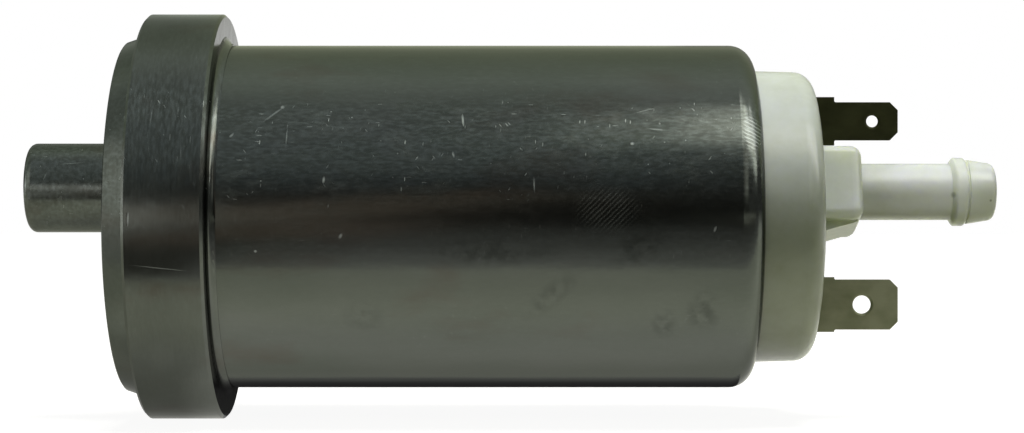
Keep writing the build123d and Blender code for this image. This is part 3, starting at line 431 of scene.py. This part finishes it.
# sizes and depths in millimetres; the grains of powder and grit are drawn coarser than the real ones, to show
innerFinishes = {
    # pressed and sintered iron powder with ground faces: grey, faintly porous
    "sintered_steel": ("sinteredSteelGround", {
        "colour": "#8d8c88", "second": "#7c7b78", "third": "#4c4a47", "grainTone": 0.45, "metallic": 1.0,
        "roughness": 0.34, "patch": (4, 4, 4),
        "grain": (0.22, 0.22, 0.22), "grainRough": 0.20, "depth": 0.012}),
    # oil-soaked bronze powder: warm, matt, with open pores
    "bronze": ("sinteredBronzeOiled", {
        "colour": "#a8763c", "second": "#8f6231", "third": "#5a3c1c", "grainTone": 0.55, "metallic": 1.0,
        "roughness": 0.38, "patch": (2.5, 2.5, 2.5),
        "grain": (0.18, 0.18, 0.18), "grainRough": 0.2, "depth": 0.012}),
    # cold drawn spring wire: bright with fine die lines
    "spring_steel": ("drawnSpringWire", {
        "colour": "#9b9da0", "second": "#84878b", "third": "#6a6d71", "grainTone": 0.3, "metallic": 1.0,
        "roughness": 0.24, "patch": (2, 2, 2),
        "grain": (1.2, 0.08, 0.08), "grainRough": 0.14, "depth": 0.004}),
    # hardened and polished bearing steel: near mirror
    "ball_steel": ("polishedBearingSteel", {
        "colour": "#c4c6c9", "second": "#b7b9bd", "third": "#a5a8ad", "grainTone": 0.2, "metallic": 1.0,
        "roughness": 0.09, "patch": (5, 5, 5),
        "grain": (0.12, 3, 3), "grainRough": 0.07, "depth": 0.001}),
    # bright zinc plate over rolled threads: slightly blue, softly clouded
    "screw_steel": ("brightZincPlate", {
        "colour": "#a2a6a8", "second": "#8f949a", "third": "#b3b29c", "grainTone": 0.3, "metallic": 1.0,
        "roughness": 0.28, "patch": (1.6, 1.6, 1.6),
        "grain": (0.4, 0.4, 0.4), "grainRough": 0.14, "depth": 0.004}),
    # stack of stamped electrical sheets 0.5 mm thick, their edges seen as rings round the axis
    "core_steel": ("stampedSheetStack", {
        "colour": "#64666b", "second": "#56585d", "third": "#33353a", "grainTone": 0.6, "metallic": 1.0,
        "roughness": 0.40, "patch": (5, 4, 4),
        "grain": (0.5, 60, 60), "grainRough": 0.18, "depth": 0.03}),
    # enamelled copper: warm red-brown under a clear varnish
    "copper": ("enamelledCopper", {
        "colour": "#b2603a", "second": "#9a4f2e", "third": "#6d341c", "grainTone": 0.4, "metallic": 1.0,
        "roughness": 0.30, "patch": (3, 3, 3),
        "grain": (0.9, 0.35, 0.35), "grainRough": 0.12, "depth": 0.03,
        "sockets": {"Coat Weight": 0.6, "Coat Roughness": 0.15}}),
    # fired and ground ferrite: dark grey, dull, a little gritty
    "magnet_ferrite": ("groundFerrite", {
        "colour": "#3a3a3d", "second": "#303033", "third": "#48484a", "grainTone": 0.4, "metallic": 0.0,
        "roughness": 0.58, "patch": (5, 5, 5),
        "grain": (0.25, 0.25, 0.25), "grainRough": 0.2, "depth": 0.01,
        "sockets": {"IOR": 2.0}}),
    # pressed copper graphite: dark with a faint metallic glint
    "carbon": ("pressedCopperGraphite", {
        "colour": "#35312f", "second": "#2a2827", "third": "#6b4532", "grainTone": 0.35, "metallic": 0.35,
        "roughness": 0.48, "patch": (1.5, 1.5, 1.5),
        "grain": (0.12, 0.12, 0.12), "grainRough": 0.2, "depth": 0.006}),
    # black glass-filled nylon: satin, with short fibres that show as pale flecks
    "dark_plastic": ("blackGlassFilledNylon", {
        "colour": "#1f2022", "second": "#27282a", "third": "#3a3b3c", "grainTone": 0.3, "metallic": 0.0,
        "roughness": 0.44, "patch": (6, 6, 6),
        "grain": (0.6, 0.14, 0.14), "grainRough": 0.14, "depth": 0.006,
        "sockets": {"IOR": 1.53}}),
    # moulded fluoro rubber: black-brown, soft sheen
    "seal_rubber": ("mouldedFluoroRubber", {
        "colour": "#201d1b", "second": "#292523", "third": "#34302d", "grainTone": 0.3, "metallic": 0.0,
        "roughness": 0.56, "patch": (3, 3, 3),
        "grain": (0.2, 0.2, 0.2), "grainRough": 0.12, "depth": 0.004,
        "sockets": {"IOR": 1.42, "Sheen Weight": 0.15}}),
    # acetal: smooth ivory, waxy
    "washer_plastic": ("turnedAcetal", {
        "colour": "#dcd8c8", "second": "#d0ccba", "third": "#c2bda9", "grainTone": 0.25, "metallic": 0.0,
        "roughness": 0.36, "patch": (3, 3, 3),
        "grain": (0.2, 6, 6), "grainRough": 0.1, "depth": 0.003,
        "sockets": {"IOR": 1.48, "Subsurface Weight": 0.15, "Subsurface Scale": 1.0,
                    "Subsurface Radius": (1.5 * mm, 1.4 * mm, 1.0 * mm)}}),
}

finishBySlot = {
    "plated_steel": steelTube, "collar_steel": steelCollar, "cover_metal": steelCover,
    "white_plastic": nylon, "dark_terminal": bladePaintedShade, "olive_terminal": bladePaintedLit,
}
for slotName, (name, values) in innerFinishes.items():
    finishBySlot[slotName] = grainedFinish(name, values)

# a carried node comes with a material that is named for its slot
slotOf = {}
for nodeName, node in frame["nodes"].items():
    for place in node.material_slots:
        slotOf[nodeName] = place.material.name.split(".")[0]
        place.material = finishBySlot[slotOf[nodeName]]
print("finishes on", len(frame["nodes"]), "carried nodes")


def putInOrder(shell):
    # extruding leaves edges and faces in another order in each run, so they are sorted by their corners
    shell.verts.index_update()
    for parts in (shell.edges, shell.faces):
        byCorners = sorted(parts, key=lambda part: sorted(corner.index for corner in part.verts))
        places = {part: place for place, part in enumerate(byCorners)}
        parts.sort(key=lambda part: places[part])


def turnedRing(name, outline, values, finish):
    # a closed ring turned about the pump axis: a circle is extruded from point to point of its outline
    first = outline[0]
    bpy.ops.object.select_all(action="DESELECT")
    bpy.ops.mesh.primitive_circle_add(
        vertices=values["sides"], radius=first[1] * mm, location=(first[0] * mm, 0, 0),
        rotation=(0, math.pi / 2, 0))
    ring = bpy.context.object
    ring.name = name
    bpy.ops.object.transform_apply(location=True, rotation=True, scale=True)
    bpy.ops.object.mode_set(mode="EDIT")
    bpy.ops.mesh.select_all(action="SELECT")
    for before, after in zip(outline, outline[1:] + outline[:1]):
        step = (after[0] - before[0]) * mm
        grow = after[1] / before[1]
        bpy.ops.mesh.extrude_edges_move(TRANSFORM_OT_translate={"value": (step, 0, 0)})
        bpy.ops.transform.resize(value=(1, grow, grow), center_override=(after[0] * mm, 0, 0))
    bpy.ops.mesh.select_all(action="SELECT")
    bpy.ops.mesh.remove_doubles(threshold=values["mergeWithin"] * mm)
    bpy.ops.mesh.normals_make_consistent(inside=False)
    putInOrder(bmesh.from_edit_mesh(ring.data))
    bpy.ops.object.mode_set(mode="OBJECT")
    bpy.ops.object.shade_smooth_by_angle(angle=math.radians(values["smoothAngle"]))
    ring.data.materials.append(finish)
    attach(ring, "pump_body")


def hollowOutline(values):
    # (along, out) points: the hollow quarter round, then the ring's back in the tube's wall and the collar
    face, radius, foot, inside = (values[key] for key in ("face", "radius", "foot", "inside"))
    turns = [i * math.pi / 2 / values["steps"] for i in range(values["steps"] + 1)]
    quarter = [(face + radius * (1 - math.cos(t)), foot + radius * (1 - math.sin(t))) for t in turns]
    back = face - values["overlap"]
    return quarter + [(face + radius, inside), (back, inside), (back, foot + radius)]


# the hollow radius where the collar meets the tube, in millimetres along the pump axis and out from it
collarHollow = {
    "face": -31.3,   # the collar's right face
    "radius": 1.05,  # from that face down to the tube
    "foot": 21.504,  # just outside the tube, so that the hollow ends without an edge
    "inside": 21.4, "overlap": 0.2,
    "steps": 14, "sides": 192, "mergeWithin": 0.001, "smoothAngle": 30,
}
turnedRing("collar_fillet", hollowOutline(collarHollow), collarHollow, steelCollar)
print("collar hollow ready")


def softCopy(nodeName):
    # a spring or lead inside: a copy of its solid with its own mesh, on the pump body, in place of the node,
    # which is hidden
    node = frame["nodes"][nodeName]
    piece = bpy.data.objects.new(nodeName + "_shape", node.data.copy())
    bpy.context.scene.collection.objects.link(piece)
    piece.matrix_world = node.matrix_world.copy()
    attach(piece, "pump_body")
    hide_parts(nodeName)
    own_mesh(piece)


for joint in frame["joints"]:
    for soft in joint.get("deforming_nodes", ()):
        softCopy(soft["node"])

floorLevel = cadBox[0].z
white = (1.0, 1.0, 1.0, 1.0)


def glossyOnly(card):
    # a studio card that only mirrors in the object: no shadow, no light, not in the picture
    card.visible_camera = False
    card.visible_diffuse = False
    card.visible_transmission = False
    card.visible_volume_scatter = False
    card.visible_shadow = False


def glowing(name, strength=1.0, paint=None):
    # a card's own material: one emission, white or in the colour that paint makes
    material, tree = newMaterial(name)
    colour = paint(tree) if paint else white
    light = addNode(tree, "Emission", {"Color": colour, "Strength": strength})
    addNode(tree, "OutputMaterial", {"Surface": light})
    return material


def stagePlaces(tree):
    # where a point of the stage lies, in metres
    place = addNode(tree, "TexCoord").outputs["Object"]
    outputs = addNode(tree, "SeparateXYZ", {0: place}).outputs
    return dict(zip(("across", "depth", "height"), outputs))


def between(tree, value, start, full, end=None, gone=None):
    # smoothly from 0 at start to 1 at full, and where end is given back to 0 from end to gone
    share = addNode(tree, "MapRange", {
        "Value": value, "From Min": start, "From Max": full}, interpolation_type="SMOOTHSTEP")
    if end is None:
        return share
    back = addNode(tree, "MapRange", {
        "Value": value, "From Min": gone, "From Max": end}, interpolation_type="SMOOTHSTEP")
    return addNode(tree, "Math", {0: share, 1: back}, operation="MULTIPLY")


def placed(tree, layers, places):
    # each layer's share, made from where it lies, and its colour; a place in a layer has its start and full,
    # and where the layer ends again its end and gone
    ready = []
    for where, colour in layers:
        share, *others = [between(tree, places[key], *stops) for key, stops in where.items()]
        for other in others:
            share = addNode(tree, "Math", {0: share, 1: other}, operation="MULTIPLY")
        ready.append((share, (*colour, 1.0)))
    return ready


# What the object mirrors, on the inside of a round tent about it. Angles are in degrees round the pump axis:
# 0 is level in front, 90 overhead and 180 level behind. Across is in metres along the axis: the pump's tube
# mirrors -0.054 to 0.074, the collar -0.114 to -0.089, the stub -0.14 to -0.12, the cap 0.078 to 0.091 and
# the nipple 0.103 to 0.155. Their rounded edges mirror what lies further out.
tent = {
    "radius": 0.45, "length": 2.4, "sides": 128,
    "gain": 1.5,  # a colour ramp holds no more than 1, so the bands are divided by this and brightened again
    "bands": [(-20, 0.02), (6, 0.02), (14, 0.06), (24, (0.16, 0.182, 0.20)), (34, (0.32, 0.355, 0.375)),
              (48, (0.40, 0.44, 0.47)), (64, (0.44, 0.475, 0.50)), (74, (0.47, 0.51, 0.52)),
              (84, (0.64, 0.69, 0.68)), (98, (0.82, 0.89, 0.84)), (116, (0.76, 0.83, 0.71)),
              (132, (0.70, 0.77, 0.58)), (150, (0.62, 0.68, 0.48)), (166, (0.60, 0.64, 0.46)), (174, 1.3),
              (200, 1.5)],
    # a brown band whose middle climbs and whose half width shrinks from one place across to another
    "brown": {"from": -0.08, "to": 0.0, "angle": (-3.0, 14.0), "width": (12.0, 6.0)},
    "layers": [
        # the brown band itself
        ({"across": (-0.128, -0.105, -0.01, 0.03), "offBrown": (1.0, 0.4)}, (0.35, 0.28, 0.235)),
        # the collar: paler above its dark middle, darker overhead, a brown edge at its level
        ({"across": (-0.120, -0.114, -0.090, -0.084), "angle": (50, 56, 70, 80)}, (0.62, 0.68, 0.67)),
        ({"across": (-0.084, -0.090), "angle": (92, 122)}, (0.56, 0.62, 0.52)),
        ({"across": (-0.120, -0.114, -0.090, -0.084), "angle": (-5, -3, 0, 2)}, (0.46, 0.40, 0.36)),
        # the tube's right half and the nipple's highlight
        ({"across": (0.015, 0.05), "angle": (40, 50, 66, 74)}, (0.72, 0.80, 0.77)),
        ({"across": (0.126, 0.129, 0.140, 0.143), "angle": (66, 70, 84, 88)}, (6.0, 6.0, 6.0)),
        # the start of the tube's rolled edge: dark in the middle, bright above it
        ({"across": (0.068, 0.073, 0.16, 0.20), "angle": (8, 14, 34, 42)}, (0.10, 0.10, 0.10)),
        ({"across": (0.068, 0.074), "angle": (44, 56, 68, 80)}, (3.8, 3.8, 3.6)),
        # the stub, with a bright band at its level
        ({"across": (-0.117, -0.122, -0.15, -0.17), "angle": (60, 45)}, (0.46, 0.50, 0.50)),
        ({"across": (-0.117, -0.122, -0.15, -0.17), "angle": (9, 5)}, (2.4, 2.4, 2.4)),
        # the rounded edges at the left
        ({"across": (-0.17, -0.26), "angle": (54, 62, 92, 106)}, (0.49, 0.53, 0.50)),
        ({"across": (-0.17, -0.26), "angle": (66, 48)}, (1.06, 1.09, 1.03)),
        # the rest of the rolled edge
        ({"across": (0.14, 0.18, 0.22, 0.30), "angle": (8, 18, 74, 84)}, (0.9, 0.9, 0.85)),
        ({"across": (0.14, 0.20, 0.30, 0.42), "angle": (50, 60, 74, 84)}, (6.0, 6.0, 5.7)),
        ({"across": (0.24, 0.34), "angle": (-3, 0, 34, 50)}, (0.12, 0.12, 0.12)),
        # behind at the right, just below level in front at the right, and behind at the left
        ({"across": (0.050, 0.060), "angle": (150, 165)}, (0.36, 0.37, 0.30)),
        ({"across": (0.085, 0.10), "angle": (0.9, -0.1)}, (0.9, 0.9, 0.8)),
        ({"across": (-0.09, -0.13), "angle": (150, 170)}, (0.01, 0.01, 0.01)),
    ],
}


def tentColour(tree):
    places = stagePlaces(tree)
    front = addNode(tree, "Math", {0: places["depth"], 1: -1.0}, operation="MULTIPLY")
    turn = addNode(tree, "Math", {0: places["height"], 1: front}, operation="ARCTAN2")
    angle = addNode(tree, "Math", {0: turn}, operation="DEGREES")
    gain = tent["gain"]
    bands = [(at, tuple(c / gain for c in colour) if isinstance(colour, tuple) else colour / gain)
             for at, colour in tent["bands"]]
    ramp = steps(tree, angle, bands)
    base = addNode(tree, "VectorMath", {0: ramp, "Scale": gain}, operation="SCALE")

    brown = tent["brown"]
    middle, width = [addNode(tree, "MapRange", {
        "Value": places["across"], "From Min": brown["from"], "From Max": brown["to"],
        "To Min": first, "To Max": last}) for first, last in (brown["angle"], brown["width"])]
    off = addNode(tree, "Math", {0: angle, 1: middle}, operation="SUBTRACT")
    away = addNode(tree, "Math", {0: off}, operation="ABSOLUTE")
    places["angle"] = angle
    places["offBrown"] = addNode(tree, "Math", {0: away, 1: width}, operation="DIVIDE")
    return overlaid(tree, base.outputs[0], placed(tree, tent["layers"], places))


# The darker table in front of the object, paler towards it: greys by depth in metres, then layers at the
# left, where the collar, the stub and the tube's brown end mirror it.
frontFloor = {
    "middle": (0, -0.249), "size": (1.8, 0.40),
    "greys": [(-0.45, 0.03), (-0.25, 0.06), (-0.18, 0.13), (-0.13, 0.19), (-0.092, 0.24), (-0.075, 0.32),
              (-0.060, 0.43), (-0.049, 0.56)],
    "layers": [
        ({"across": (-0.032, -0.042), "depth": (-0.13, -0.10, -0.056, -0.048)}, (0.13, 0.125, 0.115)),
        ({"across": (-0.066, -0.058, -0.03, -0.005), "depth": (-0.085, -0.13)}, (0.30, 0.235, 0.20)),
        ({"across": (-0.064, -0.070), "depth": (-0.28, -0.22)}, (0.62, 0.62, 0.59)),
        ({"across": (-0.092, -0.098, -0.15, -0.17), "depth": (-0.25, -0.34)}, (2.0, 2.0, 2.0)),
        ({"across": (-0.19, -0.21)}, (0.50, 0.50, 0.47)),
        ({"across": (-0.19, -0.21), "depth": (-0.060, -0.070)}, (0.82, 0.82, 0.77)),
    ],
}


def frontFloorColour(tree):
    places = stagePlaces(tree)
    base = steps(tree, places["depth"], frontFloor["greys"])
    return overlaid(tree, base.outputs[0], placed(tree, frontFloor["layers"], places))


# dark just behind the object, so that its lower edge is drawn dark, and paler further back
backFloor = {
    "middle": (-0.004, 0.19775), "size": (0.078, 0.4005),
    "greys": [(-0.0025, 0.5), (0.001, 0.12), (0.006, 0.04), (0.05, 0.03), (0.12, 0.03), (0.40, 0.7),
              (0.41, 0.7)],
}


def backFloorColour(tree):
    return steps(tree, stagePlaces(tree)["depth"], backFloor["greys"])


def addTent():
    bpy.ops.mesh.primitive_cylinder_add(
        vertices=tent["sides"], radius=tent["radius"], depth=tent["length"],
        end_fill_type="NOTHING", location=(0, 0, 0), rotation=(0, math.pi / 2, 0))
    cloth = bpy.context.object
    cloth.name = "studioTent"
    bpy.ops.object.transform_apply(location=True, rotation=True, scale=True)
    cloth.data.materials.append(glowing("tentCloth", paint=tentColour))
    glossyOnly(cloth)


# cards that face the object: the direction to each, how far off it stands, its size and its strength;
# rightEnd is nearly black, for the dark parts of the tube's rolled edge
cards = {
    "leftLamp": {"towards": (-1, -0.03, 0.03), "distance": 0.42, "size": (0.08, 0.15), "strength": 4.0},
    "rightLamp": {"towards": (0.53, -0.30, 0.79), "distance": 0.40, "size": (0.10, 0.07), "strength": 5.0},
    "rightPanel": {"towards": (0.86, -0.12, 0.72), "distance": 0.42, "size": (0.10, 0.16), "strength": 3.6},
    "rightEnd": {"towards": (1, 0, 0), "distance": 1.15, "size": (0.9, 0.9), "strength": 0.12},
}


def addCard(name, middle, size, material, facing=False):
    # a flat card; facing turns it towards the object, otherwise it lies flat
    bpy.ops.mesh.primitive_plane_add(size=1.0, location=(0, 0, 0))
    card = bpy.context.object
    card.name = name
    card.scale = (*size, 1.0)
    if facing:
        card.rotation_mode = "QUATERNION"
        card.rotation_quaternion = Vector(middle).to_track_quat("Z", "Y")
    card.location = middle
    bpy.ops.object.transform_apply(location=True, rotation=True, scale=True)
    card.data.materials.append(material)
    glossyOnly(card)


# The floor is one pale paint in the picture. Mirrored in the object it is brighter underneath, and darker
# below the collar and the stub. It gives the object's underside more light from close by than from far off.
floor = {
    "size": 6.0, "paint": "#949289", "near": "#8c8e72", "far": "#4f523c", "nearDepth": (-0.075, -0.030),
    "shadowFrom": 0.12, "shadowTo": 0.30, "glow": 0.93,
    "mirrored": (0.68, 0.68, 0.67, 1.0),
    "layers": [
        ({"depth": (-0.040, -0.014)}, (1.08, 1.07, 1.04)),
        ({"depth": (-0.014, -0.004)}, (0.82, 0.82, 0.77)),
        ({"across": (-0.031, -0.037)}, (0.52, 0.52, 0.49)),
        ({"across": (-0.031, -0.037), "depth": (-0.049, -0.038, -0.022, -0.013)}, (0.76, 0.76, 0.72)),
        ({"across": (-0.052, -0.058)}, (0.54, 0.54, 0.51)),
        ({"across": (0.050, 0.060), "depth": (0.04, 0.20)}, (0.40, 0.41, 0.35)),
        ({"away": (0.16, 0.30)}, (1.0, 1.0, 1.0)),
    ],
}


def addFloor():
    bpy.ops.mesh.primitive_plane_add(size=floor["size"], location=(0, 0, floorLevel))
    plane = bpy.context.object
    plane.name = "floor"
    bpy.ops.object.transform_apply(location=True, rotation=True, scale=True)
    material, tree = newMaterial("paleFloor")
    places = stagePlaces(tree)
    flat = addNode(tree, "CombineXYZ", {0: places["across"], 1: places["depth"]})
    places["away"] = addNode(tree, "VectorMath", {0: flat}, operation="LENGTH").outputs["Value"]
    glow = addNode(tree, "MapRange", {
        "Value": places["away"], "From Min": floor["shadowFrom"], "From Max": floor["shadowTo"],
        "To Min": floor["glow"], "To Max": 1.0}, interpolation_type="SMOOTHSTEP")
    mirrored = overlaid(tree, floor["mirrored"], placed(tree, floor["layers"], places))
    path = addNode(tree, "LightPath").outputs
    seen = addNode(tree, "Math", {
        0: path["Is Camera Ray"], 1: path["Is Transmission Ray"]}, operation="MAXIMUM")
    shown = addNode(tree, "Math", {0: seen, 1: glow}, operation="MULTIPLY")
    pale = addNode(tree, "Emission", {"Color": white, "Strength": shown})
    image = addNode(tree, "Emission", {"Color": mirrored, "Strength": path["Is Glossy Ray"]})
    near = between(tree, places["depth"], *floor["nearDepth"])
    bounce = overlaid(tree, linear(floor["far"]), [(near, linear(floor["near"]))])
    paint = overlaid(tree, bounce, [(seen, linear(floor["paint"]))])
    lit = addNode(tree, "BsdfDiffuse", {"Color": paint})
    glows = addNode(tree, "AddShader", {0: pale, 1: image})
    above = addNode(tree, "AddShader", {0: glows, 1: lit})
    under = addNode(tree, "NewGeometry").outputs["Backfacing"]
    clear = addNode(tree, "BsdfTransparent")
    oneSided = addNode(tree, "MixShader", {0: under, 1: above, 2: clear})
    addNode(tree, "OutputMaterial", {"Surface": oneSided})
    plane.data.materials.append(material)


# soft light that comes from above, from the horizon's colour to the colour overhead
sky = {"low": (0.016, 0.019, 0.011, 1.0), "high": (0.13, 0.14, 0.13, 1.0), "rise": (0.0, 0.9)}


def addWorld():
    # white behind everything that is seen or mirrored, and the sky's light for the rest
    world = bpy.data.worlds.new("studioWorld")
    bpy.context.scene.world = world
    world.use_nodes = True
    tree = world.node_tree
    tree.nodes.clear()
    place = addNode(tree, "TexCoord").outputs["Generated"]
    height = addNode(tree, "SeparateXYZ", {0: place}).outputs[2]
    high = between(tree, height, *sky["rise"])
    path = addNode(tree, "LightPath").outputs
    seen = addNode(tree, "Math", {0: path["Is Camera Ray"], 1: path["Is Glossy Ray"]}, operation="MAXIMUM")
    seen = addNode(tree, "Math", {0: seen, 1: path["Is Transmission Ray"]}, operation="MAXIMUM")
    colour = overlaid(tree, sky["low"], [(high, sky["high"]), (seen, white)])
    light = addNode(tree, "Background", {"Color": colour, "Strength": 1.0})
    addNode(tree, "OutputWorld", {"Surface": light})


lamps = {
    # the soft lamp overhead that lights the object
    "keyLight": {
        "kind": "AREA", "place": (0.05, -0.04, 0.62), "towards": (0, 0, 0),
        "settings": {"shape": "SQUARE", "size": 0.26, "energy": 3.85, "color": (0.95, 0.96, 1.0)}},
    # a small soft lamp that lifts the nipple's front, as the white room round it does
    "fillLight": {
        "kind": "SPOT", "place": (0.10, -0.30, 0.22), "towards": (0.0585, -0.003, 0.003),
        "settings": {"spot_size": math.radians(3.0), "spot_blend": 0.5, "shadow_soft_size": 0.01,
                     "energy": 2.8}},
}


def addLamp(name, values):
    data = bpy.data.lights.new(name, values["kind"])
    for setting, value in values["settings"].items():
        setattr(data, setting, value)
    lamp = bpy.data.objects.new(name, data)
    lamp.location = values["place"]
    lamp.rotation_mode = "QUATERNION"
    lamp.rotation_quaternion = (lamp.location - Vector(values["towards"])).to_track_quat("Z", "Y")
    lamp.visible_glossy = False
    bpy.context.scene.collection.objects.link(lamp)


# level with the pump axis, 300 mm in front of it, and a little towards the outlet
camera = {"place": (4.5 * mm, -0.300, 0.0), "lens": 83.6, "sensorWidth": 36.0, "nearest": 0.01}


def addCamera():
    data = bpy.data.cameras.new("photoCamera")
    data.lens = camera["lens"]
    data.sensor_width = camera["sensorWidth"]
    data.clip_start = camera["nearest"]
    eye = bpy.data.objects.new("photoCamera", data)
    eye.location = camera["place"]
    eye.rotation_euler = (math.radians(90), 0, 0)
    bpy.context.scene.collection.objects.link(eye)
    bpy.context.scene.camera = eye


bpy.ops.object.select_all(action="DESELECT")
addTent()
cardLevel = floorLevel + 0.1 * mm  # the floor's own cards lie just above it
for name, values, paint in (("frontFloorCard", frontFloor, frontFloorColour),
                            ("backFloorCard", backFloor, backFloorColour)):
    addCard(name, (*values["middle"], cardLevel), values["size"], glowing(name + "Paper", paint=paint))
for name, values in cards.items():
    middle = Vector(values["towards"]).normalized() * values["distance"]
    addCard(name, middle, values["size"], glowing(name + "Paper", values["strength"]), facing=True)
addFloor()
addWorld()
for name, values in lamps.items():
    addLamp(name, values)
addCamera()
bpy.context.scene.view_settings.view_transform = "Standard"
print("studio ready")
